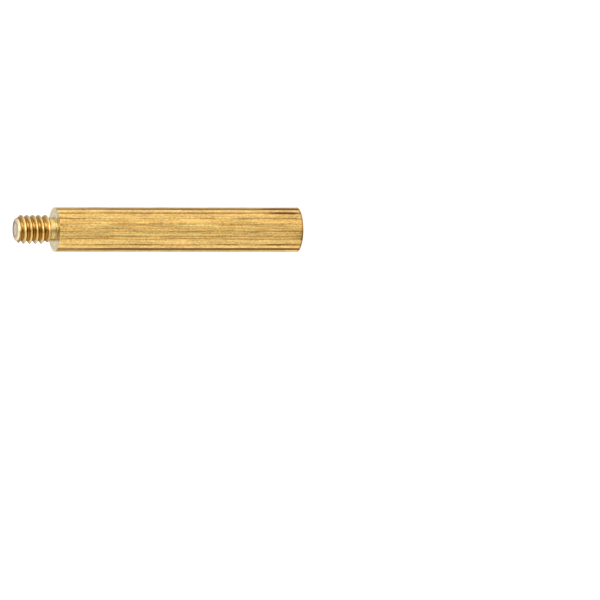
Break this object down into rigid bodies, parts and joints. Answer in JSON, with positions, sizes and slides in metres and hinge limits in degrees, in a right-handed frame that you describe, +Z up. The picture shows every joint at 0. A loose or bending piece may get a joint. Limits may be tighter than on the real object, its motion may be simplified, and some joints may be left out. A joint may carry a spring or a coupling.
{
  "type": "knurled standoff",
  "caption": "Round brass spacer with a straight knurl, a threaded stud at one end and a blind threaded hole in the other.",
  "frame": {"origin": "centre of the foot's flat end, on the surface that the part stands on", "axes": "+Z up along the part's own axis, from the foot with the threaded hole to the tip of the stud; a knurl groove lies at +X"},
  "size_m": [0.0044, 0.0044, 0.029],
  "materials": {
    "brass": "knurled, dull satin"
  },
  "bodies": {
    "root": {"standoff": "brass"}
  },
  "joints": []
}
